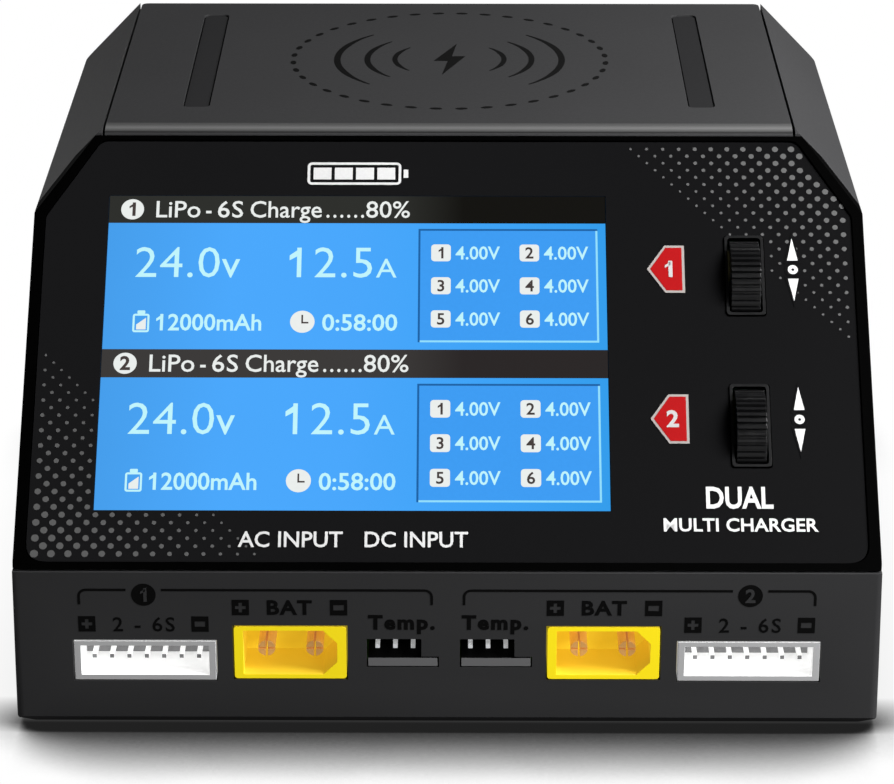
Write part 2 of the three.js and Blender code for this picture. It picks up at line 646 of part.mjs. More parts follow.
// A three-pin sensor header on a shelf that closes the lower part of its opening.
function sensorHeader() {
  const { width, height, length, pins, pitch, pin_x } = SENSOR;
  const w = width / 2;
  const h = height / 2;
  const body = join(
    box(-w, w, 0, length, -h, -h + SENSOR_LEDGE),
    box(-w, w, 5.5, length, -h, h),
  );
  const row = Array.from({ length: pins }, (_, i) => {
    const x = pin_x + (i - (pins - 1) / 2) * pitch;
    return box(x - 0.32, x + 0.32, PIN_RECESS, 6, -0.5, 0.14);
  });
  return join(body, ...row);
}

CHANNEL_X.forEach((side, i) => {
  const n = i + 1;
  const battery = new THREE.Group();
  battery.position.set(side * BATTERY.x, FRONT_Y, SOCKET_Z.battery);
  charger.add(battery);
  add(battery, `battery_socket_${n}`, batterySocket(), 'yellow');
  [['positive', -BULLET.x], ['negative', BULLET.x]].forEach(([pole, x]) => {
    add(battery, `battery_pin_${pole}_${n}`, bulletPin(), 'gold').position.x = x;
  });
  const balance = add(charger, `balance_header_${n}`, balanceHeader(), 'white');
  balance.position.set(side * BALANCE.x, FRONT_Y, SOCKET_Z.balance);
  const sensor = add(charger, `sensor_header_${n}`, sensorHeader(), 'plastic');
  sensor.position.set(SENSOR.x[i], FRONT_Y, SOCKET_Z.sensor);
});

// ---------------------------------------------------------------- rear sockets and fans

function acInlet() {
  const { width, height } = AC_INLET;
  const w = width / 2;
  const h = height / 2;
  const flange = rounded(rectangle(-w, w, -h, h), 1.5);
  const body = rectangle(-w + 1.3, w - 1.3, -h + 0.8, h - 0.8);
  const mouth = [[-12, -8], [12, -8], [12, 2.5], [6.5, 8], [-6.5, 8], [-12, 2.5]];
  return cut(
    join(prism('y', flange, -1.3, -0.2), prism('y', body, -18, -1)),
    prism('y', mouth, -15.5, 1),
    ...[[-7, 0], [0, 2.8], [7, 0]].map(([x, z]) => box(x - 1.3, x + 1.3, -20, -14, z - 2.3, z + 2.3)),
  );
}

const inlet = new THREE.Group();
inlet.position.set(AC_INLET.x, REAR_Y, AC_INLET.z);
charger.add(inlet);
add(inlet, 'ac_inlet', acInlet(), 'plastic');
[['neutral', -7, 0], ['earth', 0, 2.8], ['line', 7, 0]].forEach(([name, x, z]) => {
  const blade = box(x - 1, x + 1, -21, -3, z - 2, z + 2);
  add(inlet, `ac_blade_${name}`, blade, 'steel');
});

const dc = new THREE.Group();
dc.position.set(DC_SOCKET.x, REAR_Y - 0.6, DC_SOCKET.z);
dc.rotation.z = Math.PI;
charger.add(dc);
add(dc, 'dc_socket', batterySocket(), 'yellow');
[['positive', -BULLET.x], ['negative', BULLET.x]].forEach(([pole, x]) => {
  add(dc, `dc_pin_${pole}`, bulletPin(), 'gold').position.x = x;
});

function usbPort() {
  const w = USB.width / 2;
  const h = USB.height / 2;
  return join(
    cut(box(-w, w, -14, 0, -h, h), box(-w + 0.4, w - 0.4, -12, 1, -h + 0.4, h - 0.4)),
    box(-w + 1.2, w - 1.2, -13, -PIN_RECESS, 0.2, 1.9),
  );
}
add(charger, 'usb_port', usbPort(), 'steel').position.set(USB.x, REAR_Y - 0.8, USB.z);

// A fan frame centred on the origin, its duct along y and its motor plate at the +Y end.
function fanFrame() {
  const s = FANS.size / 2;
  const t = FANS.thick / 2;
  const frame = cut(
    prism('y', rounded(rectangle(-s, s, -s, s), 2.5), -t, t),
    rod('y', FANS.duct, [0, 0], -t - 1, t + 1, 36),
    ...[[-1, -1], [1, -1], [1, 1], [-1, 1]].map(([i, j]) => (
      rod('y', 1.75, [16 * i, 16 * j], -t - 1, t + 1, 12)
    )),
  );
  const struts = [[-s, s, -1, 1], [-1, 1, -s, s]].map(([x0, x1, z0, z1]) => (
    common(box(x0, x1, t - 1.4, t, z0, z1), rod('y', FANS.duct + 0.4, [0, 0], -t, t, 36))
  ));
  return join(frame, rod('y', 10.5, [0, 0], t - 1.4, t, 28), ...struts);
}

// The impeller: a hub with raked blades that stop short of the duct.
function fanRotor() {
  const blades = 7;
  const pitch = THREE.MathUtils.degToRad(38);
  const hub = rod('y', 10.5, [0, 0], -4.5, 2.9, 28);
  const made = Array.from({ length: blades }, (_, i) => new THREE.BoxGeometry(9.5, 1, 8.4)
    .rotateX(pitch)
    .translate(14.2, -0.7, 0)
    .rotateY((i * 2 * Math.PI) / blades));
  return common(join(hub, ...made), rod('y', FANS.duct - 0.6, [0, 0], -4.5, 3, 36));
}

FANS.x.forEach((x, i) => {
  const seat = new THREE.Group();
  seat.position.set(x, REAR_PLATE.y0 - SEAM - FANS.thick / 2, FANS.z);
  charger.add(seat);
  add(seat, `fan_frame_${i + 1}`, fanFrame(), 'plastic');
  add(seat, `fan_rotor_${i + 1}`, fanRotor(), 'roller');
});

// ---------------------------------------------------------------- electronics

function mainBoard() {
  const outline = [
    [-54, -56.2], [54, -56.2], [54, -43], [49.5, -43], [49.5, -33], [54, -33],
    [54, 37], [-54, 37], [-54, -33], [-49.5, -33], [-49.5, -43], [-54, -43],
  ];
  return cut(
    prism('z', outline, MAIN_BOARD_Z, MAIN_BOARD_TOP),
    ...POWER_POSTS.map((at) => rod('z', 3.5, at, 0, 20, 12)),
  );
}

function powerBoard() {
  return prism('z', rectangle(-46, 46, -7, 40), POWER_BOARD_Z, POWER_BOARD_Z + BOARD_THICK);
}

const PARTS_Z = POWER_BOARD_Z + BOARD_THICK + 0.1; // the power board's parts stand on this level

function transformer() {
  return join(
    box(-34, -6, 8, 32, PARTS_Z + 3, PARTS_Z + 21),
    box(-31, -9, 4, 36, PARTS_Z + 5, PARTS_Z + 19),
    box(-32, -8, 10, 30, PARTS_Z, PARTS_Z + 4),
  );
}

function heatSink() {
  const fins = Array.from({ length: 6 }, (_, i) => {
    const y = 12 + 4.6 * i;
    return box(22, 40, y, y + 1.4, PARTS_Z, PARTS_Z + 24);
  });
  return join(box(38, 41, 12, 36.4, PARTS_Z, PARTS_Z + 24), ...fins);
}

add(charger, 'main_board', mainBoard(), 'board');
add(charger, 'power_board', powerBoard(), 'board');
add(charger, 'transformer', transformer(), 'ferrite');
add(charger, 'bulk_capacitor', rod('z', 8, [10, 4], PARTS_Z, PARTS_Z + 25, 28), 'plastic');
add(charger, 'heat_sink', heatSink(), 'aluminium');

// The wireless charger hangs in the opening under the lid: coil, ferrite sheet and driver board.
const COIL_TOP = TOP_Z - LID_THICK - 0.2;
const coil = cut(
  rod('z', 22, [0, PAD.y], COIL_TOP - 1.2, COIL_TOP, 32),
  rod('z', 10, [0, PAD.y], COIL_TOP - 3, COIL_TOP + 1, 20),
);
const SHEET_TOP = COIL_TOP - 1.4;
const DRIVER_TOP = SHEET_TOP - 1.2;
add(charger, 'charging_coil', coil, 'copper');
add(charger, 'ferrite_sheet', box(-24, 24, PAD.y - 24, PAD.y + 24, SHEET_TOP - 0.8, SHEET_TOP), 'ferrite');
add(charger, 'wireless_board', box(-28, 28, 9, 44, DRIVER_TOP - BOARD_THICK, DRIVER_TOP), 'board');

export default charger;
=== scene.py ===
"""A two-channel battery charger with a sloping screen panel, front sockets and a wireless charging lid.

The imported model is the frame: every shape, size and joint comes from it. This script softens the CAD
nodes' edges, gives each one a node-based material, and adds what is printed or lit on their faces.
Lengths are millimetres in the layout values and metres in Blender.
"""

import json
import math

import bmesh
import bpy
from mathutils import Matrix, Vector


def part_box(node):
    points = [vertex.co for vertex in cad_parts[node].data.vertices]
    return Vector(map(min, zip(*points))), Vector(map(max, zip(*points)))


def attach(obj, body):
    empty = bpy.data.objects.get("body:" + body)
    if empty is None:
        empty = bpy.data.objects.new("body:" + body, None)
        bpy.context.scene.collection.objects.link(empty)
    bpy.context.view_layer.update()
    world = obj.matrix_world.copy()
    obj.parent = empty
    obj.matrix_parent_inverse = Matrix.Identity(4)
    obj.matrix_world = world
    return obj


MM = 0.001
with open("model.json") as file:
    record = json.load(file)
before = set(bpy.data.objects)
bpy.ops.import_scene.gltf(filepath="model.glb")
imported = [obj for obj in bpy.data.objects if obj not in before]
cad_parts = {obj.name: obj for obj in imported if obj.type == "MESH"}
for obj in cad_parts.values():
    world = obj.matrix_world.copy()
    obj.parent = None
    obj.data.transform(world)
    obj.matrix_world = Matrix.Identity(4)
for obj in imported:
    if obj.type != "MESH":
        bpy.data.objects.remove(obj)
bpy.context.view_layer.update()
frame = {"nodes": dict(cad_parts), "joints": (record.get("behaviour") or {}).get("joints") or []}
nodes = frame["nodes"]
joints = {joint["name"]: joint for joint in frame["joints"]}
CHARGER = "charger"

# ------------------------------------------------------------------ places taken from the frame


def reach(node, direction):
    """How far a CAD node reaches along a direction, in metres."""
    return max(vertex.co.dot(direction) for vertex in nodes[node].data.vertices)


RIGHT = Vector((1, 0, 0))
BACK = Vector((0, 1, 0))
UP = Vector((0, 0, 1))
PANEL_OUT = -Vector(joints["roller_press_1"]["axis"])
PANEL_UP = PANEL_OUT.cross(RIGHT)


def plane(across, along, out, origin):
    """A drawing plane: its x, y and z axes in the frame, and the point its drawing starts from."""
    matrix = Matrix((across, along, out)).transposed().to_4x4()
    matrix.translation = origin
    return matrix


def plane_on(node, across, along):
    """The plane of a node's outermost face along across x along, starting at its lower edge."""
    out = across.cross(along)
    return plane(across, along, out, out * reach(node, out) - along * reach(node, -along))


PANEL = plane_on("front_overlay", RIGHT, PANEL_UP)
SCREEN = plane_on("screen_window", RIGHT, PANEL_UP)
FRONT = plane(RIGHT, UP, -BACK, -BACK * reach("lower_shell", -BACK))
REAR = plane(-RIGHT, UP, BACK, BACK * reach("rear_plate", BACK))
LID = plane(RIGHT, BACK, UP, UP * reach("lid", UP))


def on_plane(matrix, point):
    """A frame point's place in a plane's own drawing, in millimetres."""
    local = matrix.inverted() @ Vector(point)
    return local.x / MM, local.y / MM


def middle(node):
    low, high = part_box(node)
    return (low + high) / 2


ROLLERS = [on_plane(PANEL, joints[f"roller_spin_{n}"]["pos_m"]) for n in (1, 2)]


def span(node, matrix, way):
    """How far a node reaches along a way across a plane's drawing, in millimetres."""
    places = (on_plane(matrix, vertex.co) for vertex in nodes[node].data.vertices)
    return max(x * way[0] + y * way[1] for x, y in places)


# ------------------------------------------------------------------ materials


class Shader:
    """A short way to write a node tree round one Principled BSDF."""

    def __init__(self, name):
        self.material = bpy.data.materials.new(name)
        self.material.use_nodes = True
        self.tree = self.material.node_tree
        self.surface = self.tree.nodes["Principled BSDF"]
        self.place = self.tree.nodes.new("ShaderNodeTexCoord").outputs["Object"]

    def node(self, kind, inputs=(), **settings):
        made = self.tree.nodes.new("ShaderNode" + kind)
        for key, value in settings.items():
            setattr(made, key, value)
        for key, value in dict(inputs).items():
            self.feed(made.inputs[key], value)
        return made

    def feed(self, socket, value):
        if isinstance(value, bpy.types.NodeSocket):
            self.tree.links.new(value, socket)
        else:
            socket.default_value = value

    def set(self, **values):
        for key, value in values.items():
            self.feed(self.surface.inputs[key.replace("_", " ")], value)

    def math(self, operation, first, second=0.0):
        made = self.node("Math", operation=operation)
        self.feed(made.inputs[0], first)
        self.feed(made.inputs[1], second)
        return made.outputs[0]

    def axis(self, name):
        return self.node("SeparateXYZ", {"Vector": self.place}).outputs[name]

    def noise(self, scale, detail=3.0, stretch=(1, 1, 1)):
        where = self.node("Mapping", {"Vector": self.place, "Scale": stretch}).outputs[0]
        return self.node("TexNoise", {"Vector": where, "Scale": scale, "Detail": detail}).outputs[0]

    def spread(self, value, low, high):
        """A value from 0 to 1 spread between low and high."""
        return self.node("MapRange", {"Value": value, "To Min": low, "To Max": high}).outputs[0]

    def blend(self, share, first, second):
        made = self.node("Mix", data_type="RGBA")
        for key, value in (("Factor", share), ("A", first), ("B", second)):
            sockets = [s for s in made.inputs if s.name == key and s.enabled]
            self.feed(sockets[0], value)
        return next(s for s in made.outputs if s.enabled)

    def ramp(self, share, colors):
        """Colours in equal steps as share goes from 0 to 1."""
        made = self.node("ValToRGB", {"Fac": share})
        stops = made.color_ramp.elements
        while len(stops) < len(colors):
            stops.new(0.5)
        for i, color in enumerate(colors):
            stops[i].position = i / (len(colors) - 1)
            stops[i].color = color
        return made.outputs["Color"]

    def across(self, node):
        """0 at the left side of a CAD node's box and 1 at its right side."""
        left, right = (corner.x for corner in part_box(node))
        return self.math("DIVIDE", self.math("SUBTRACT", self.axis("X"), left), right - left)

    def bump(self, height, distance, strength=1.0):
        made = self.node("Bump", {"Height": height, "Distance": distance, "Strength": strength})
        self.feed(self.surface.inputs["Normal"], made.outputs[0])


def rgb(red, green, blue):
    """An sRGB colour, each part from 0 to 255, as the linear colour that shaders use."""
    shares = [value / 255 for value in (red, green, blue)]
    return (*[s / 12.92 if s <= 0.04045 else ((s + 0.055) / 1.055) ** 2.4 for s in shares], 1)


def grey(level):
    return rgb(level, level, level)


def shade(color, factor):
    return (*[min(1.0, c * factor) for c in color[:3]], 1)


BROAD_SHADES = (0.9, 1.1)  # a moulding's darkest and lightest patches, as shares of its colour


def moulded(name, color, rough, grain=900, relief=0.01, gloss=0.2, glow=0.0):
    """Injection-moulded plastic: a fine spark texture, and broad faint changes of shade and gloss.

    relief is the texture's height in millimetres. A pair of colours runs from the front panel's
    left to its right: painted shade, darker towards the right.
    """
    made = Shader(name)
    fine = made.noise(grain * 4, 2.0)
    broad = made.noise(30, 4.0)
    # two colours: painted shade across the front panel, darker towards its right
    if len(color) == 2:
        across = made.across("front_overlay")
        ends = [made.blend(across, *(shade(end, factor) for end in color)) for factor in BROAD_SHADES]
    else:
        ends = [shade(color, factor) for factor in BROAD_SHADES]
    body = made.blend(broad, *ends)
    made.set(
        Base_Color=body,
        Roughness=made.spread(made.noise(grain, 3.0), rough - 0.06, rough + 0.06),
        Specular_IOR_Level=gloss,
    )
    # glow is painted light: the plastic gives off light of its own colour, though it is no lamp.
    if glow:
        made.set(Emission_Color=body, Emission_Strength=glow)
    made.bump(fine, relief * MM, 0.6)
    return made.material


def printed(name, color, rough=0.5):
    """Ink on a face, with the slight unevenness of a screen print."""
    made = Shader(name)
    uneven = made.noise(2500, 2.0)
    made.set(
        Base_Color=made.blend(uneven, shade(color, 0.92), shade(color, 1.05)),
        Roughness=made.spread(uneven, rough - 0.05, rough + 0.05),
        Specular_IOR_Level=0.1,
    )
    return made.material


def lit(name, color):
    """A lit mark on the display: its own light only."""
    made = Shader(name)
    made.set(
        Base_Color=(0, 0, 0, 1),
        Emission_Color=color,
        Emission_Strength=made.spread(made.noise(1800, 2.0), 0.94, 1.0),
        Roughness=0.5,
        Specular_IOR_Level=0.05,
    )
    return made.material


def metal(name, color, rough, stretch):
    """Bare metal with drawn marks along the axis that stretch leaves long."""
    made = Shader(name)
    marks = made.noise(5000, 4.0, stretch)
    made.set(
        Base_Color=made.blend(made.noise(400), shade(color, 0.85), color),
        Metallic=1.0,
        Roughness=made.spread(marks, rough * 0.7, rough * 1.4),
    )
    made.bump(marks, 0.004 * MM, 0.5)
    return made.material


casing = moulded("casing_plastic", rgb(49, 49, 50), 0.5, grain=1600, relief=0.012)
bezel_black = moulded("bezel_plastic", rgb(1, 1, 1), 0.6, relief=0.003, gloss=0.01)
# A lighter copy of the bezel's black: a painted highlight on the rims round the rollers.
collar_highlight = moulded("collar_painted_highlight", rgb(14, 14, 15), 0.35, relief=0.003, gloss=0.3)
# The film's colours are painted shade: lighter at the panel's left, darker at its right, the side the key
# lamp lights most.
film = moulded("overlay_film", (rgb(19, 19, 20), rgb(6, 6, 7)), 0.5, grain=2600, relief=0.004, gloss=0.05)
rubber = moulded("black_rubber", rgb(32, 32, 33), 0.85, grain=1200, relief=0.02, gloss=0.1)
roller_black = moulded("roller_plastic", rgb(12, 12, 13), 0.24, relief=0.003, gloss=0.8)
black_plastic = moulded("black_plastic", rgb(14, 14, 15), 0.5, relief=0.008, gloss=0.15)
# Near-black: painted shade in the sensor headers' windows and on their shelf's top; the screen module behind
# its window has it too.
dark_recess = moulded("recess_plastic", rgb(3, 3, 3), 0.7, relief=0.004, gloss=0.03)
shelf_plastic = moulded("shelf_plastic", rgb(106, 106, 107), 0.5, relief=0.006)
# Balance headers: the white glows as painted light, and the rim and back-wall greys below are painted shade
# on the same white plastic.
white_plastic = moulded("header_plastic", rgb(250, 250, 249), 0.5, relief=0.005, glow=0.3)
header_rim = moulded("header_rim_painted_shade", rgb(186, 186, 187), 0.5, relief=0.005)
header_back = moulded("header_back_painted_shade", rgb(140, 140, 141), 0.55, relief=0.005)
# Socket yellows: all glow as painted light, and the shelf and inside copies are darker yellow as painted
# shade.
yellow_plastic = moulded("socket_plastic", rgb(252, 224, 24), 0.42, relief=0.005, glow=0.25)
socket_shelf_shade_glow = moulded("socket_shelf_painted_shade_and_glow", rgb(216, 186, 46), 0.5, relief=0.005, glow=0.38)
socket_inside_shade_glow = moulded("socket_inside_painted_shade_and_glow", rgb(226, 200, 50), 0.5, relief=0.005, glow=0.4)
sleeve = moulded("capacitor_sleeve", rgb(30, 30, 34), 0.3, relief=0.002, gloss=0.5)
ferrite = moulded("ferrite", rgb(70, 70, 74), 0.75, grain=700, relief=0.03)
# glow: painted light on the gold contacts
gold = moulded("gold_contact", rgb(220, 164, 92), 0.3, relief=0.004, gloss=0.9, glow=0.2)
steel = metal("steel", rgb(196, 198, 202), 0.3, (1, 1, 0.1))
aluminium = metal("heat_sink_aluminium", rgb(182, 184, 188), 0.42, (0.1, 1, 1))
# glow: painted light on the sensor pins
pin_silver = moulded("pin_silver", rgb(236, 238, 240), 0.3, relief=0.002, gloss=0.8, glow=0.35)


def solder_mask():
    """A green board: darker tracks on a square grid show through the mask."""
    made = Shader("circuit_board")
    cells_in_a_metre = 420.0
    cells = made.node("TexVoronoi", {"Vector": made.place, "Scale": cells_in_a_metre}, distance="CHEBYCHEV")
    tracks = made.math("GREATER_THAN", cells.outputs["Distance"], 0.42)
    made.set(
        Base_Color=made.blend(tracks, rgb(22, 92, 48), rgb(16, 66, 36)),
        Roughness=0.35,
        Coat_Weight=0.3,
    )
    made.bump(tracks, 0.03 * MM)
    return made.material


def wound_copper(center):
    """Enamelled wire: rings about the coil's centre."""
    made = Shader("wound_copper")
    away = made.node("VectorMath", {0: made.place, 1: (center.x, center.y, 0)}, operation="SUBTRACT")
    flat = made.node("VectorMath", {0: away.outputs[0], 1: (1, 1, 0)}, operation="MULTIPLY")
    radius = made.node("VectorMath", {0: flat.outputs[0]}, operation="LENGTH").outputs["Value"]
    wire_pitch = 0.9 * MM
    wire = made.math("SINE", made.math("MULTIPLY", radius, 2 * math.pi / wire_pitch))
    made.set(
        Base_Color=made.blend(made.spread(wire, 0.2, 1.0), rgb(120, 58, 28), rgb(206, 120, 66)),
        Metallic=0.9,
        Roughness=0.35,
    )
    made.bump(wire, 0.25 * MM)
    return made.material


def rounded_edge():
    """The lid's rounded front edge: a painted highlight just under its crest, and painted shade dark at its
    foot.
    """
    made = Shader("lid_edge_painted_light")
    crest, drop = reach("lid", UP), 0.95 * MM
    down = made.math("DIVIDE", made.math("SUBTRACT", crest, made.axis("Z")), drop)
    made.set(
        # painted highlight just under the crest, then painted shade down to black at the foot
        Base_Color=made.ramp(down, [grey(level) for level in (66, 98, 74, 34, 8, 0)]),
        Roughness=made.spread(made.noise(1600), 0.36, 0.46),
        Specular_IOR_Level=0.2,
    )
    made.bump(made.noise(6400, 2.0), 0.004 * MM, 0.6)
    return made.material


def lit_display():
    """The display behind its window: blue light, deeper towards the right and at the left rim."""
    made = Shader("lit_display")
    blues = (rgb(70, 158, 236), rgb(75, 168, 252), rgb(73, 167, 252), rgb(62, 163, 247), rgb(51, 157, 236))
    made.set(
        Base_Color=(0, 0, 0, 1),
        Emission_Color=made.ramp(made.across("screen_window"), blues),
        Emission_Strength=made.spread(made.noise(60, 2.0), 0.98, 1.02),
        Roughness=0.5,
        Specular_IOR_Level=0.03,
    )
    return made.material


def display_bar(name, left, right):
    """A title bar of the display, fading from one colour to another past its middle."""
    made = Shader(name)
    made.set(
        Base_Color=(0, 0, 0, 1),
        Emission_Color=made.ramp(made.across("screen_window"), (left,) * 5 + (right,) * 3),
        Emission_Strength=1.0,
        Roughness=0.5,
        Specular_IOR_Level=0.03,
    )
    return made.material


# ------------------------------------------------------------------ CAD nodes: softened edges, finishes


EASED_ANGLE = math.radians(32)  # edges that turn by more than this are eased
WELD_REACH = 0.0005 * MM


def finish_node(name, material, width=0.0, segments=2):
    """Gives a CAD node its material, smooth shading and edges eased by width millimetres."""
    piece = nodes[name]
    mesh = piece.data
    if "custom_normal" in mesh.attributes:
        mesh.attributes.remove(mesh.attributes["custom_normal"])
    mesh.materials.clear()
    mesh.materials.append(material)
    mesh.polygons.foreach_set("use_smooth", [bool(width)] * len(mesh.polygons))
    weld = piece.modifiers.new("weld", "WELD")
    weld.merge_threshold = WELD_REACH
    if width:
        ease = piece.modifiers.new("ease_edges", "BEVEL")
        ease.width = width * MM
        ease.segments = segments
        ease.limit_method = "ANGLE"
        ease.angle_limit = EASED_ANGLE
        ease.use_clamp_overlap = True
        ease.harden_normals = True
        ease.miter_outer = "MITER_ARC"


def finish_all(names, material, width=0.0, **settings):
    for name in names:
        finish_node(name, material, width, **settings)


def numbered(name, count=2):
    return [f"{name}_{i + 1}" for i in range(count)]


def paint(names, material, picks):
    """Another material on the faces of CAD nodes that picks(place, size, normal) chooses.

    place is the face's middle from the low corner of the node's box, and size is that box's, in
    millimetres.
    """
    for name in names:
        mesh = nodes[name].data
        low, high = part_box(name)
        mesh.materials.append(material)
        for face in mesh.polygons:
            if picks((face.center - low) / MM, (high - low) / MM, face.normal):
                face.material_index = len(mesh.materials) - 1


FACING = 0.9  # a face's normal is within about 25 degrees of a direction
# Depths behind a socket's mouth, in millimetres.
RIM = (-math.inf, 0.1)
INSIDE = (1, 9)  # the battery sockets' inner walls and floor
BACK_WALL = (6, 9)
PIN_TIPS = (2, 3)
PINS = (2, 5.3)
SENSOR_SHELF = 1.5  # the sensor headers' shelf ends below this height
BATTERY_SOCKETS = numbered("battery_socket")
BALANCE_HEADERS = numbered("balance_header")
SENSOR_HEADERS = numbered("sensor_header")

finish_all(["lower_shell", "upper_shell"], casing, 0.4, segments=3)
finish_node("lid", casing, 0.3, segments=3)
# The lid's rounded front edge gets a painted highlight and painted shade.
paint(["lid"], rounded_edge(), lambda place, size, normal: normal.y < 0 and 0.5 < normal.z < 0.999)
finish_node("rear_plate", casing, 0.2)
finish_node("front_bezel", bezel_black, 0.2, segments=3)
finish_node("front_overlay", film, 0.08)
finish_node("screen_window", lit_display())
finish_node("screen_module", dark_recess, 0.2)
finish_all(["grip_strip_left", "grip_strip_right", *numbered("foot", 4)], rubber, 0.2)
finish_all(numbered("roller_wheel"), roller_black, 0.1, segments=3)
finish_all([*numbered("roller_yoke"), *numbered("encoder_base")], black_plastic, 0.15)
finish_all([*numbered("case_screw", 4), *numbered("roller_axle"), *numbered("press_switch")], steel, 0.06)


def collar_rim(place, size, normal):
    """The bezel's raised rims round the rollers, painted lighter as a highlight."""
    half_wide, half_tall = 3.4, 7
    spot = on_plane(PANEL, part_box("front_bezel")[0] + place * MM)
    near = any(abs(spot[0] - x) < half_wide and abs(spot[1] - y) < half_tall for x, y in ROLLERS)
    return near and normal.dot(PANEL_OUT) > FACING


paint(["front_bezel"], collar_highlight, collar_rim)


def in_depths(depths, also=lambda place, normal: True):
    """A test for paint: faces between two depths behind a socket's mouth that pass another test."""
    return lambda place, size, normal: depths[0] < place.y < depths[1] and also(place, normal)


def forwards(place, normal):
    return normal.y < -FACING


# the sockets glow as painted light; their insides and floors are painted darker yellow as shade
finish_all([*BATTERY_SOCKETS, "dc_socket"], yellow_plastic, 0.18, segments=3)
paint(BATTERY_SOCKETS, socket_inside_shade_glow, in_depths(INSIDE))
paint(BATTERY_SOCKETS, socket_shelf_shade_glow, in_depths(INSIDE, lambda place, normal: normal.z > 0.7))
paint(["dc_socket"], socket_inside_shade_glow, lambda place, size, normal: INSIDE[0] < size.y - place.y < INSIDE[1])
# The balance headers glow as painted light; their front rim, back wall and pin tips are painted grey as
# shade.
finish_all(BALANCE_HEADERS, white_plastic, 0.06)
paint(BALANCE_HEADERS, header_rim, in_depths(RIM))
paint(BALANCE_HEADERS, header_back, in_depths(BACK_WALL, forwards))
paint(BALANCE_HEADERS, header_back, in_depths(PIN_TIPS, forwards))
# The sensor headers are near-black, painted shade in their windows and on their shelf's top; only their
# front rim is grey.
finish_all(SENSOR_HEADERS, dark_recess, 0.05)
paint(SENSOR_HEADERS, shelf_plastic, in_depths(RIM))
paint(SENSOR_HEADERS, pin_silver, in_depths(PINS, lambda place, normal: place.z > SENSOR_SHELF))
finish_node("ac_inlet", black_plastic, 0.2)
finish_all(["ac_blade_line", "ac_blade_neutral", "ac_blade_earth", "usb_port"], steel, 0.08)
finish_all(numbered("fan_frame"), black_plastic, 0.3)
finish_all(numbered("fan_rotor"), roller_black, 0.15)
for pole in ("positive", "negative"):
    finish_all([*numbered(f"battery_pin_{pole}"), f"dc_pin_{pole}"], gold, 0.06)
boards = solder_mask()
finish_all(["main_board", "power_board", "display_board", "wireless_board"], boards, 0.05)
finish_all(["transformer", "ferrite_sheet"], ferrite, 0.3)
finish_node("bulk_capacitor", sleeve, 0.6)
finish_node("heat_sink", aluminium, 0.15)
finish_node("charging_coil", wound_copper(middle("charging_coil")), 0.3)

# ------------------------------------------------------------------ flat prints


class Print:
    """Flat shapes on one plane, gathered into one mesh of thin closed prisms."""

    thickness = 0.03

    def __init__(self, matrix, lift=0.01):
        self.matrix = matrix
        self.lift = lift
        self.mesh = bmesh.new()
        self.at = (0.0, 0.0)

    def ring(self, outer, inner=None):
        """A prism from an outline, in millimetres, or the band between two outlines of equal length."""
        x, y = self.at
        low, high = self.lift, self.lift + self.thickness

        def raised(points, z):
            return [self.mesh.verts.new((x + px, y + py, z)) for px, py in points]

        bottom, top = raised(outer, low), raised(outer, high)
        count = len(outer)
        for i in range(count):
            j = (i + 1) % count
            self.mesh.faces.new((bottom[i], bottom[j], top[j], top[i]))
        if inner is None:
            self.mesh.faces.new(top)
            self.mesh.faces.new(bottom[::-1])
            return
        under, over = raised(inner, low), raised(inner, high)
        for i in range(count):
            j = (i + 1) % count
            self.mesh.faces.new((under[j], under[i], over[i], over[j]))
            self.mesh.faces.new((top[i], top[j], over[j], over[i]))
            self.mesh.faces.new((bottom[j], bottom[i], under[i], under[j]))

    def rectangle(self, x0, x1, y0, y1, corner=0.0):
        self.ring(rounded(x0, x1, y0, y1, corner))

    def outline(self, x0, x1, y0, y1, corner, line):
        """The outline of a rounded rectangle, line millimetres wide inside its edge."""
        inner = rounded(x0 + line, x1 - line, y0 + line, y1 - line, max(corner - line, 0.01))
        self.ring(rounded(x0, x1, y0, y1, corner), inner)

    def disc(self, x, y, radius, sides=28):
        self.ring(ellipse(x, y, radius, radius, sides=sides))

    def text(self, words, x, y, height, width=None, align="LEFT", weight=0.0):
        """Words with capitals of one height, from the built-in font.

        A width sets the letters apart to fill it, or narrows them to fit it. The font's figure one
        is a plain bar, so a leading one gets its flag here.
        """
        flag = 0.22 * height if words[0] == "1" else 0.0
        tall = height / CAPITAL_HEIGHT
        made = letters(words, weight, 1.0)
        natural = measure(made) * tall
        room = (width or natural + flag) - flag
        if room > natural:
            bpy.data.meshes.remove(made)
            made = letters(words, weight, room / natural)
        wide = tall * room / (measure(made) * tall)
        left = x + self.at[0] + flag
        left -= {"LEFT": 0.0, "CENTER": (room + flag) / 2}[align]
        start = min(vertex.co.x for vertex in made.vertices)
        base = y + self.at[1]
        for vertex in made.vertices:
            z = self.lift + (self.thickness if vertex.co.z > 0 else 0.0)
            vertex.co = ((vertex.co.x - start) * wide + left, vertex.co.y * tall + base, z)
        self.mesh.from_mesh(made)
        bpy.data.meshes.remove(made)
        if flag:
            stem, top = left + 0.12 * height - self.at[0], y + height * 0.985
            self.ring([(stem, top), (stem - flag - 0.12 * height, top - 0.26 * height),
                       (stem - flag - 0.12 * height, top - 0.42 * height), (stem, top - 0.22 * height)])

    def make(self, name, material, slot):
        """Turns the sheet into a named piece that rides the charger's body."""
        bmesh.ops.remove_doubles(self.mesh, verts=self.mesh.verts, dist=1e-5)
        self.mesh.transform(self.matrix @ Matrix.Scale(MM, 4))
        bmesh.ops.recalc_face_normals(self.mesh, faces=self.mesh.faces)
        data = bpy.data.meshes.new(name)
        self.mesh.to_mesh(data)
        self.mesh.free()
        data.materials.append(material)
        piece = bpy.data.objects.new(name, data)
        bpy.context.scene.collection.objects.link(piece)
        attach(piece, CHARGER)


CAPITAL_HEIGHT = 0.69  # of the built-in font at size 1


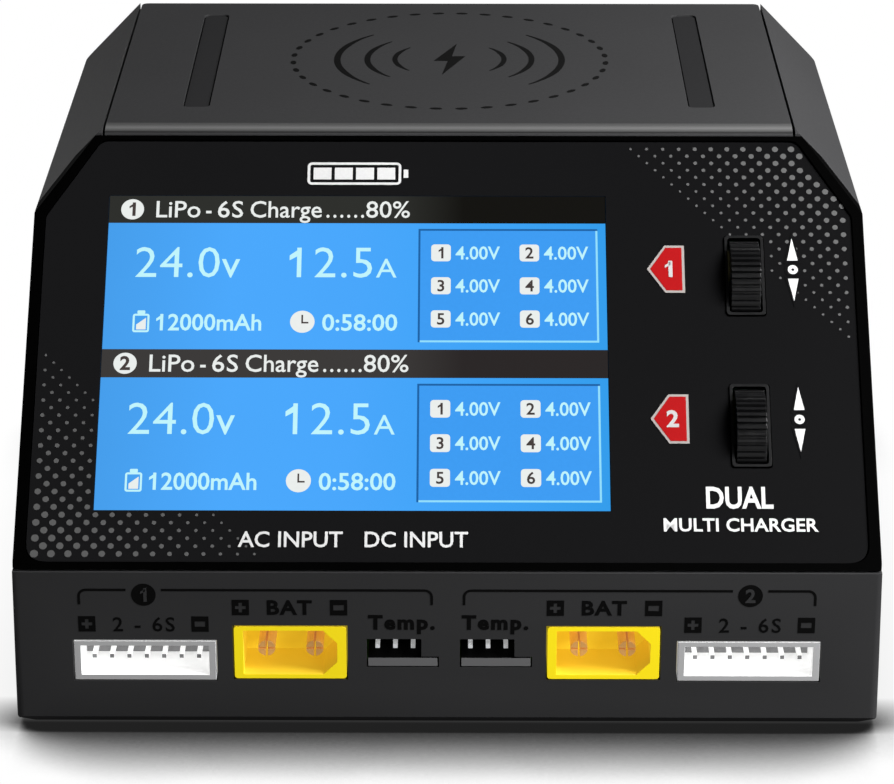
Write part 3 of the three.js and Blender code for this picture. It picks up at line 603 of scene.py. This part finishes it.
def letters(words, weight, spacing):
    """Words as a mesh one unit thick either side of z = 0."""
    curve = bpy.data.curves.new("words", "FONT")
    curve.body = words
    curve.offset = weight
    curve.space_character = spacing
    curve.resolution_u = 3
    curve.extrude = 1.0
    piece = bpy.data.objects.new("words", curve)
    bpy.context.scene.collection.objects.link(piece)
    graph = bpy.context.evaluated_depsgraph_get()
    made = bpy.data.meshes.new_from_object(piece.evaluated_get(graph))
    bpy.data.objects.remove(piece)
    return made


def measure(made):
    """The width of a mesh."""
    xs = [vertex.co.x for vertex in made.vertices]
    return max(xs) - min(xs)


def ellipse(x, y, a, b, lean=0.0, sides=16):
    """An ellipse's outline: half-lengths a and b, its long axis leaning by an angle."""
    points = []
    for i in range(sides):
        turn = 2 * math.pi * i / sides
        u, v = a * math.cos(turn), b * math.sin(turn)
        points.append((
            x + u * math.cos(lean) - v * math.sin(lean),
            y + u * math.sin(lean) + v * math.cos(lean),
        ))
    return points


def rounded(x0, x1, y0, y1, corner):
    """A rectangle's outline, with its corners rounded when corner is above nought."""
    steps = 4
    if corner <= 0:
        return [(x0, y0), (x1, y0), (x1, y1), (x0, y1)]
    points = []
    corners = ((x1, y1, -1, -1, 0), (x0, y1, 1, -1, 90), (x0, y0, 1, 1, 180), (x1, y0, -1, 1, 270))
    for x, y, sx, sy, start in corners:
        for i in range(steps + 1):
            turn = math.radians(start + 90 * i / steps)
            points.append((
                x + sx * corner + corner * math.cos(turn),
                y + sy * corner + corner * math.sin(turn),
            ))
    return points


# ------------------------------------------------------------------ display

TITLE_HEIGHT = 4.55


def screen_pages():
    """Everything the display shows, for both channels."""
    wide = span("screen_window", SCREEN, (1, 0)) + span("screen_window", SCREEN, (-1, 0))
    left = -span("screen_window", SCREEN, (-1, 0))
    block = span("screen_window", SCREEN, (0, 1)) / 2
    glow, bold, dark = Print(SCREEN, 0.05), Print(SCREEN, 0.05), Print(SCREEN, 0.09)
    edges, shine, well = Print(SCREEN, 0.03), Print(SCREEN, 0.03), Print(SCREEN)
    tones = ((rgb(46, 47, 44), rgb(18, 17, 14)), (rgb(60, 58, 57), rgb(42, 38, 38)))
    for channel, tone in zip((1, 2), tones):
        start = (left, block * (2 - channel))
        bar = Print(SCREEN)
        for sheet in (bar, glow, bold, dark, edges, shine, well):
            sheet.at = start
        bar.rectangle(0, wide, block - TITLE_HEIGHT, block)
        bar.make(f"display_bar_{channel}", display_bar(f"display_bar_{channel}", *tone), slot="screen")
        title(bold, dark, channel, block - TITLE_HEIGHT / 2)
        readings(glow, bold, dark)
        cell_table(glow, bold, dark, edges, shine, well, wide)
    glow.make("display_readings", lit("display_light", rgb(196, 248, 255)), slot="screen")
    bold.make("display_badges", lit("display_white", rgb(238, 242, 240)), slot="screen")
    dark.make("display_marks", lit("display_dark", rgb(70, 62, 60)), slot="screen")
    edges.make("display_shadow_lines", lit("display_shadow", rgb(29, 98, 165)), slot="screen")
    shine.make("display_shine_lines", lit("display_shine", rgb(150, 226, 255)), slot="screen")
    well.make("display_wells", lit("display_well", rgb(62, 158, 246)), slot="screen")


def title(bold, dark, channel, y):
    """The channel's number in a disc, then the words, about the title's middle line."""
    disc_x, disc_radius, figure, capital = 3.45, 1.7, 2.1, 2.72
    bold.disc(disc_x, y - 0.02, disc_radius, 36)
    dark.text(str(channel), disc_x, y - figure / 2, figure, align="CENTER", weight=0.03)
    words = (  # each with its left edge and its width
        ("LiPo", 7.0, 6.55),
        ("-", 14.4, 0.8),
        ("6S", 16.15, 3.75),
        ("Charge", 21.0, 10.6),
        ("......", 32.3, 5.6),
        ("80%", 38.2, 6.5),
    )
    for word, x, wide in words:
        bold.text(word, x, y - 1.33, capital, width=wide, weight=0.006)


def readings(glow, bold, dark):
    """The large voltage and current, the charge so far and the time, with their symbols."""
    upper, lower = 11.8, 3.1  # the feet of the two lines
    large, small, thin, firm = 5.0, 2.6, -0.004, 0.014
    glow.text("24.0", 4.3, upper, large, width=12.4, weight=thin)
    glow.text("v", 17.0, upper, 4.6, width=2.7)
    glow.text("12.5", 27.0, upper, large, width=12.2, weight=thin)
    glow.text("A", 39.8, upper, 3.1, width=3.0)
    glow.text("12000mAh", 7.7, lower, small, width=15.4, weight=firm)
    glow.text("0:58:00", 32.0, lower, small, width=11.0, weight=firm)
    battery_symbol(glow, bold)
    clock_symbol(bold, dark)


def battery_symbol(glow, bold):
    """An upright cell, its cap, and its charge with a sloping top."""
    left, right, foot, head = 4.25, 6.7, 2.75, 5.75
    glow.outline(left, right, foot, head, 0.35, 0.3)
    glow.rectangle(left + 0.65, right - 0.65, head, head + 0.55, 0.15)
    low, inner_left, inner_right = 3.2, 4.8, 6.2
    bold.ring([(inner_left, low), (inner_right, low), (inner_right, 5.1), (inner_left, 4.0)])


def clock_symbol(bold, dark):
    """A disc with two hands that meet a little left of its middle."""
    x, y, hand = 29.1, 4.5, 0.25
    bold.disc(x, y, 1.8, 32)
    left = x - 0.15
    dark.rectangle(left, left + hand, y - 0.15, y + 1.1)
    dark.rectangle(left, x + 0.9, y - 0.3, y - 0.3 + hand)


def cell_table(glow, bold, dark, edges, shine, well, wide):
    """A sunken frame with a numbered voltage for each of six cells."""
    left, right, foot, head = 46.0, wide - 1.2, 1.2, 19.9
    line = 0.3
    well.rectangle(left, right, foot, head)
    edges.rectangle(left, right, head - line, head)
    edges.rectangle(left, left + line, foot, head - line)
    shine.rectangle(left + line, right, foot, foot + line)
    shine.rectangle(right - line, right, foot + line, head - line)
    first_x, first_y, column_step, row_step = 47.9, 15.9, 13.05, 5.45
    badge, badge_half, figure, capital = 2.9, 1.4, 1.8, 2.1
    for cell in range(6):
        column, row = cell % 2, cell // 2
        x = first_x + column_step * column
        y = first_y - row_step * row
        bold.rectangle(x, x + badge, y - badge_half, y + badge_half, 0.5)
        dark.text(str(cell + 1), x + badge / 2, y - figure / 2, figure, align="CENTER", weight=0.015)
        glow.text("4.00V", x + 3.6, y - capital / 2, capital, width=6.55, weight=0.012)


screen_pages()

# ------------------------------------------------------------------ print on the sloping panel

# The outline that dots stay in: half-planes of a convex region, each a normal and a limit.
CHAMFER_WAY = (0.824, 0.567)  # out of the film's cut upper right corner
FILM_MARGIN = 0.15
FILM_EDGES = [
    (*way, span("front_overlay", PANEL, way) - FILM_MARGIN)
    for way in ((1, 0), (-1, 0), (0, 1), (0, -1), CHAMFER_WAY, (-CHAMFER_WAY[0], CHAMFER_WAY[1]))
]
DOT_PITCH = 1.7
LARGEST_DOT, SMALLEST_DOT = 0.62, 0.16  # radii at the corner and where the dots end
DOTS_REACH = 24.0  # how far from its corner, along the diagonal, a halftone ends


def halftone(sheet, across, up, holes):
    """Round dots on a plain diagonal grid, largest at one corner of the film and smaller inwards.

    across and up are 1 or -1, and say which corner.
    """
    corner_x = across * span("front_overlay", PANEL, (across, 0))
    corner_y = up * span("front_overlay", PANEL, (0, up))
    rows = math.ceil(DOTS_REACH / DOT_PITCH)
    for row in range(rows):
        radius = LARGEST_DOT + (SMALLEST_DOT - LARGEST_DOT) * row / rows
        for place in range(-rows, rows + 1):
            inwards, along = row * DOT_PITCH, place * DOT_PITCH
            x = corner_x - across * (inwards + along) / math.sqrt(2)
            y = corner_y - up * (inwards - along) / math.sqrt(2)
            on_film = all(nx * x + ny * y < limit - radius for nx, ny, limit in FILM_EDGES)
            if on_film and not any(touches(box, x, y, radius) for box in holes):
                sheet.disc(x, y, radius, 12)


def touches(box, x, y, margin):
    """Whether a point lies in a box, or within a distance of its sides."""
    x0, x1, y0, y1 = box
    return x0 < x + margin and x - margin < x1 and y0 < y + margin and y - margin < y1


def dots_print(holes):
    """The halftones in the film's upper right and lower left corners."""
    ink = printed("print_dot", rgb(84, 84, 84))
    for name, way in (("upper", 1), ("lower", -1)):
        dots = Print(PANEL)
        halftone(dots, way, way, holes)
        dots.make(f"panel_dots_{name}", ink, slot="overlay")


def dots_holes():
    """What the dots stay clear of: the screen, and each roller's rim, in the panel's drawing."""
    gap, collar_half, collar_tall = 0.1, 3.0, 6.55
    foot = on_plane(PANEL, SCREEN.translation)[1]
    screen = (
        -span("screen_window", SCREEN, (-1, 0)) - gap,
        span("screen_window", SCREEN, (1, 0)) + gap,
        foot - gap,
        foot + span("screen_window", SCREEN, (0, 1)) + gap,
    )
    collars = [(x - collar_half, x + collar_half, y - collar_tall, y + collar_tall) for x, y in ROLLERS]
    return [screen, *collars]


def panel_print():
    """The channel markers, the roller symbols, the battery gauge and the words."""
    tall = span("front_overlay", PANEL, (0, 1))
    halo = Print(PANEL, 0.04)
    white, rims = Print(PANEL, 0.08), Print(PANEL, 0.08)
    red = Print(PANEL, 0.12)
    numerals = Print(PANEL, 0.16)
    marker_offset, arrows_offset, raised, rim = -11.5, 7.1, 1.0, 0.5
    for n, (x, y) in enumerate(ROLLERS, start=1):
        marker(rims, red, numerals, x + marker_offset, y + 1.05, n)
        arrows(halo, x + arrows_offset, y + raised, rim)
        arrows(white, x + arrows_offset, y + raised, 0.0)
    gauge(white, -14.05, tall - 7.4)
    words = (  # each with its middle, its foot, its capitals' height, its width and its weight
        ("DUAL", 41.75, 8.45, 3.2, 9.6, 0.025),
        ("MULTI CHARGER", 41.8, 4.85, 1.95, 22.0, 0.02),
        ("AC INPUT", -22.25, 2.3, 2.35, 14.9, 0.012),
        ("DC INPUT", -4.35, 2.3, 2.35, 14.7, 0.012),
    )
    for label, x, y, capital, wide, weight in words:
        white.text(label, x, y, capital, width=wide, align="CENTER", weight=weight)
    halo.make("panel_print_halo", film, slot="overlay")
    white.make("panel_print_white", printed("print_white", rgb(202, 202, 202)), slot="overlay")
    rims.make("panel_tag_rims", printed("print_rim", rgb(150, 144, 141)), slot="overlay")
    red.make("panel_print_red", printed("print_red", rgb(150, 8, 12)), slot="overlay")
    numerals.make("panel_numerals", printed("print_numeral", rgb(176, 172, 172)), slot="overlay")


def marker(rims, red, numerals, x, y, n):
    """A red tag that points left, with a pale rim and the channel's number."""

    rim_width = 0.38

    def tag(rim):
        half = 3.9 - rim
        tip, shoulder, right = x - 2.9 + 1.25 * rim, x - 0.25 + 0.45 * rim, x + 2.65 - rim
        return [(tip, y), (shoulder, y - half), (right, y - half), (right, y + half), (shoulder, y + half)]

    rims.ring(tag(0.0))
    red.ring(tag(rim_width))
    numerals.text(str(n), x + 0.3, y - 1.25, 2.5, align="CENTER", weight=0.03)


def arrows(sheet, x, y, grow):
    """Up, press and down: two slim arrow heads and a dot, each grown by a rim."""
    dot, hole, half, near, far = 0.75, 0.22, 0.78, 1.5, 5.2
    sheet.ring(ellipse(x, y, dot + grow, dot + grow), None if grow else ellipse(x, y, hole, hole))
    for way in (-1, 1):
        foot, tip = y + way * (near - grow), y + way * (far + 2 * grow)
        head = [(x - half - grow, foot), (x + half + grow, foot), (x, tip)]
        sheet.ring(head if way > 0 else head[::-1])


def gauge(sheet, x, y):
    """A plain battery gauge: an outlined cell with four charge bars and a terminal."""
    half, tall, line, gap, bars = 7.0, 3.8, 0.4, 0.5, 4
    cap_gap, cap_wide, cap_half = 0.35, 0.7, 0.7
    sheet.outline(x - half, x + half, y, y + tall, 0.7, line)
    cap_left, middle_y = x + half + cap_gap, y + tall / 2
    sheet.rectangle(cap_left, cap_left + cap_wide, middle_y - cap_half, middle_y + cap_half)
    start = x - half + line + gap
    step = (2 * (half - line) - gap) / bars
    for i in range(bars):
        left = start + i * step
        sheet.rectangle(left, left + step - gap, y + line + gap, y + tall - line - gap)


def bolt(sheet, x, y, half, wide):
    """A lightning bolt about a point, from its half-height and its half-width."""
    steps = ((0.45, 1), (-1, -0.12), (-0.1, -0.12), (-0.45, -1), (1, 0.18), (0.15, 0.18))
    sheet.ring([(x + wide * u, y + half * v) for u, v in steps])


dots_print(dots_holes())
panel_print()

# ------------------------------------------------------------------ print on the front face


def band(path, width):
    """The outline of a line of one width along an open path."""
    left, right = [], []
    for i, (x, y) in enumerate(path):
        ax, ay = path[max(i - 1, 0)]
        bx, by = path[min(i + 1, len(path) - 1)]
        length = math.hypot(bx - ax, by - ay)
        nx, ny = -(by - ay) / length * width / 2, (bx - ax) / length * width / 2
        left.append((x + nx, y + ny))
        right.append((x - nx, y - ny))
    return left + right[::-1]


def sign(sheet, x, y, size, plus):
    """A small dark square with a plus or a minus left clear in it."""
    half, arm, line = size / 2, size * 0.31, size * 0.1
    if not plus:
        flat = size * 0.17
        inner = rounded(x - arm, x + arm, y - flat, y + flat, 0)
        sheet.ring(rounded(x - half, x + half, y - half, y + half, 0), inner)
        return
    for sx, sy in ((1, 1), (-1, 1), (-1, -1), (1, -1)):
        steps = (
            (line, line), (arm, line), (arm, 0), (half, 0),
            (half, half), (0, half), (0, arm), (line, arm),
        )
        points = [(x + sx * u, y + sy * v) for u, v in steps]
        sheet.ring(points if sx * sy > 0 else points[::-1])


def bracket(sheet, x0, x1, y, gap_x):
    """A thin line with its ends turned down, open where the channel's number sits."""
    turn, drop, gap, thickness = 1.0, 2.3, 2.5, 0.38
    for edge, end in ((x0, gap_x - gap), (x1, gap_x + gap)):
        way = 1 if end > edge else -1
        bend = [math.radians(90 * i / 6) for i in range(7)]
        path = [(edge, y - drop)]
        path += [(edge + way * turn * (1 - math.cos(a)), y - turn * (1 - math.sin(a))) for a in bend]
        path += [(end, y)]
        line = band(path, thickness)
        sheet.ring(line if way < 0 else line[::-1])


def front_print():
    """Brackets that group each channel's sockets, with a word or sign over every socket."""
    ink = Print(FRONT)
    numerals = Print(FRONT, 0.05)
    sockets = ("battery_socket", "balance_header", "sensor_header")
    outer, inner, line_height, disc_radius, figure, sign_size = 52.2, 2.3, 11.25, 1.75, 2.0, 2.45
    for n, side in ((1, -1), (2, 1)):
        battery, balance, sensor = (on_plane(FRONT, middle(f"{socket}_{n}")) for socket in sockets)
        line = balance[1] + line_height
        ends = sorted((side * outer, side * inner + 0.15))
        disc_x = balance[0] - side * 0.1
        bracket(ink, *ends, line, disc_x)
        ink.disc(disc_x, line - 0.75, disc_radius, 36)
        numerals.text(str(n), disc_x, line - 1.75, figure, align="CENTER", weight=0.03)
        ink.text("2 - 6S", balance[0], balance[1] + 4.7, 2.2, width=8.8, align="CENTER", weight=0.012)
        ink.text("BAT", battery[0], battery[1] + 6.15, 2.15, width=6.4, align="CENTER", weight=0.035)
        ink.text("Temp.", sensor[0] - 0.15, sensor[1] + 3.8, 2.1, width=9.5, align="CENTER", weight=0.045)
        for offset, plus in ((-8.1, True), (8.0, False)):
            sign(ink, balance[0] + offset, balance[1] + 5.85, sign_size, plus)
        for offset, plus in ((-6.95, True), (7.0, False)):
            sign(ink, battery[0] + offset, battery[1] + 7.2, sign_size, plus)
    ink.make("front_print", printed("print_black", rgb(4, 4, 4), 0.6), slot="casing")
    numerals.make("front_numerals", printed("print_grey", rgb(52, 52, 53), 0.6), slot="casing")


front_print()

# ------------------------------------------------------------------ print on the lid


def arc_path(center, radius, start, end):
    """Points along an arc, from its angles in degrees."""
    steps = 36
    turns = [math.radians(start + (end - start) * i / steps) for i in range(steps + 1)]
    return [(center[0] + radius * math.cos(t), center[1] + radius * math.sin(t)) for t in turns]


def crescent(center, radius, thickness, start, end):
    """An arc of even width that narrows over its last stretch at both ends."""
    outer, inner = [], []
    path = arc_path(center, radius, start, end)
    for i, (x, y) in enumerate(path):
        share = i / (len(path) - 1)
        half = thickness / 2 * min(1.0, 0.25 + 3 * min(share, 1 - share))
        ux, uy = (x - center[0]) / radius, (y - center[1]) / radius
        outer.append((x + ux * half, y + uy * half))
        inner.append((x - ux * half, y - uy * half))
    return outer + inner[::-1]


def lid_print():
    """The charging ring of dashes, a bolt, and waves on both sides of it."""
    center = on_plane(LID, middle("charging_coil"))
    ink = Print(LID)
    dashes, radius, long, wide = 40, 24.9, 0.95, 0.45
    bolt_half_tall, bolt_half_wide = 8.0, 2.5
    for i in range(dashes):
        turn = 2 * math.pi * (i + 0.5) / dashes
        x, y = center[0] + radius * math.cos(turn), center[1] + radius * math.sin(turn)
        ink.ring(ellipse(x, y, long, wide, turn + math.pi / 2, sides=12))
    for wave, (r, thickness) in enumerate(((17.9, 1.0), (13.1, 0.9), (8.7, 0.8))):
        half = 46 - 1.5 * wave
        for side in (0, 180):
            ink.ring(crescent(center, r, thickness, side - half, side + half))
    bolt(ink, *center, bolt_half_tall, bolt_half_wide)
    ink.make("lid_print", printed("print_lid", rgb(4, 4, 4), 0.6), slot="casing")


lid_print()

# ------------------------------------------------------------------ print on the rear plate


def rear_print():
    """Words above two of the rear sockets, in light grey."""
    ink = Print(REAR)
    capital = 2.2
    for node, words, wide, raised in (("dc_socket", "DC IN", 8.0, 5.7), ("usb_port", "USB 5V", 9.5, 6.0)):
        x, y = on_plane(REAR, middle(node))
        ink.text(words, x, y + raised, capital, width=wide, align="CENTER", weight=0.02)
    ink.make("rear_print", printed("print_rear", rgb(150, 150, 150), 0.5), slot="casing")


rear_print()

# ------------------------------------------------------------------ floor, light and camera


SHADOW_REACH = 26 * MM
COVERED, OPEN = 0.462, 0.838  # shares of open sky where the shadow is deepest and where it ends


def floor():
    """A white sweep that is its own light, with a painted shadow where the charger stands close, most of all
    in front.
    """
    mesh = bpy.data.meshes.new("studio_floor")
    sheet = bmesh.new()
    bmesh.ops.create_grid(sheet, x_segments=1, y_segments=1, size=3.0)
    sheet.to_mesh(mesh)
    sheet.free()
    made = Shader("studio_white")
    open_sky = made.node("AmbientOcclusion", {"Distance": SHADOW_REACH}, samples=32).outputs["AO"]
    front, back = (corner.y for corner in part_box("lower_shell"))

    def along(start, end, low, high):
        ends = {"From Min": start, "From Max": end, "To Min": low, "To Max": high}
        return made.node("MapRange", {"Value": made.axis("Y"), **ends}).outputs[0]

    sides = along(front + 3 * MM, front + 11 * MM, 0.15, 0.93)
    paler = made.math("MULTIPLY", sides, along(back - 30 * MM, back, 1.0, 0.6))
    cast = made.node("MapRange", {"Value": open_sky, "From Min": COVERED, "From Max": OPEN, "To Min": paler})
    path = made.node("LightPath")
    level = made.blend(path.outputs["Is Camera Ray"], (0.2, 0.2, 0.2, 1), (1, 1, 1, 1))
    made.set(
        Base_Color=(0, 0, 0, 1),
        Specular_IOR_Level=0.0,
        Emission_Color=level,
        Emission_Strength=made.math("POWER", cast.outputs[0], 2.2),
    )
    mesh.materials.append(made.material)
    piece = bpy.data.objects.new("studio_floor", mesh)
    bpy.context.scene.collection.objects.link(piece)


def lamp(name, location, target, size, power, mirrored=True):
    """A rectangular light aimed at a target. Lengths in metres, power in watts."""
    light = bpy.data.lights.new(name, "AREA")
    light.shape = "RECTANGLE"
    light.size, light.size_y = size
    light.energy = power
    made = bpy.data.objects.new(name, light)
    made.location = location
    made.rotation_euler = (Vector(target) - Vector(location)).to_track_quat("-Z", "Y").to_euler()
    made.visible_camera = False
    made.visible_glossy = mirrored
    bpy.context.scene.collection.objects.link(made)


def world_light(seen, even, mirrored):
    """A white surround for the camera, an even light, and a dimmer one for what surfaces mirror."""
    world = bpy.data.worlds.new("studio")
    bpy.context.scene.world = world
    world.use_nodes = True
    tree = world.node_tree
    path = tree.nodes.new("ShaderNodeLightPath")
    level = even
    for ray, value in (("Is Glossy Ray", mirrored), ("Is Camera Ray", seen)):
        mix = tree.nodes.new("ShaderNodeMix")
        tree.links.new(path.outputs[ray], mix.inputs[0])
        if isinstance(level, float):
            mix.inputs[2].default_value = level
        else:
            tree.links.new(level, mix.inputs[2])
        mix.inputs[3].default_value = value
        level = mix.outputs[0]
    tree.links.new(level, tree.nodes["Background"].inputs["Strength"])
    tree.nodes["Background"].inputs["Color"].default_value = (1, 1, 1, 1)


def camera():
    """A long lens in front of the charger and above it, in metres and degrees."""
    place, looks_down, turned_left = (0.0021, -0.4845, 0.2370), 23.32, 0.28
    data = bpy.data.cameras.new("camera")
    data.lens = 135.2
    data.sensor_width = 36
    data.clip_start, data.clip_end = 0.01, 50
    made = bpy.data.objects.new("camera", data)
    made.location = place
    made.rotation_euler = (math.radians(90 - looks_down), 0, math.radians(turned_left))
    bpy.context.scene.collection.objects.link(made)
    bpy.context.scene.camera = made


floor()
world_light(1.0, 0.05, 0.03)
lamp("key", (0.3, -0.12, 0.3), (0, 0, 0.05), (0.2, 0.2), 3.6)
lamp("front", (0.3, -0.45, 0.2), (0, 0, 0.03), (0.2, 0.2), 1.1)
lamp("back", (0.3, 0.5, 0.45), (0, 0, 0.04), (0.3, 0.3), 0.85)
lamp("left", (-0.45, 0.25, 0.13), (0, 0, 0.05), (0.2, 0.2), 0.9)
lamp("rear", (-0.15, 0.7, 0.035), (0, 0, 0.035), (0.3, 0.06), 3, mirrored=False)
camera()
bpy.context.scene.view_settings.view_transform = "Standard"
